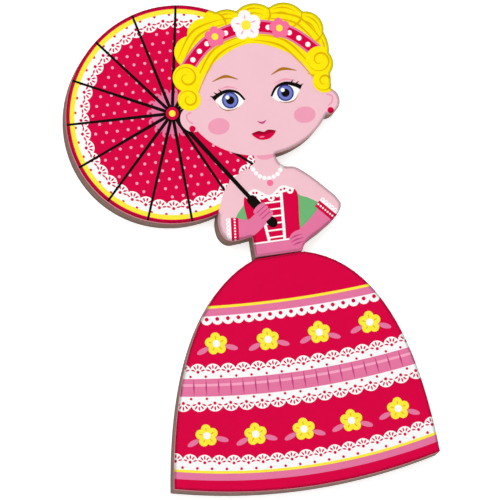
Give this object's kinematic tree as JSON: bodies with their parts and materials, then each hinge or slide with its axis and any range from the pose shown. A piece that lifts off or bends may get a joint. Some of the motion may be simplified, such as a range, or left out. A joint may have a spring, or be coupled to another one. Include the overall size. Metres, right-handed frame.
{
  "type": "magnetic dress-up doll",
  "caption": "Flat magnetic dress-up doll in printed fibreboard: a bust holding a parasol above a separate bell-shaped skirt, each held on steel by disc magnets let into its back.",
  "frame": {"origin": "middle of the chest magnet's bare face, on the plane of the doll's back", "axes": "+Z from the hem up to the hair, +X to the right of the picture, +Y out of the back, so the printed face looks along -Y"},
  "size_m": [0.0608, 0.0053, 0.0953],
  "materials": {
    "fibreboard": "raw cut edge and back, matt",
    "printed_paper": "satin varnished print",
    "ferrite": "sintered, matt"
  },
  "bodies": {
    "bust": {"bust_board": "fibreboard", "bust_print": "printed_paper", "bust_magnet_parasol": "ferrite", "bust_magnet_head": "ferrite", "bust_magnet_chest": "ferrite"},
    "skirt": {"skirt_board": "fibreboard", "skirt_print": "printed_paper", "skirt_magnet_upper": "ferrite", "skirt_magnet_left": "ferrite", "skirt_magnet_right": "ferrite"}
  },
  "joints": [
    {"name": "skirt_pull_off", "type": "slide", "parent": "bust", "child": "skirt", "axis": [0, -1, 0], "range_m": [0, 0.03]}
  ]
}
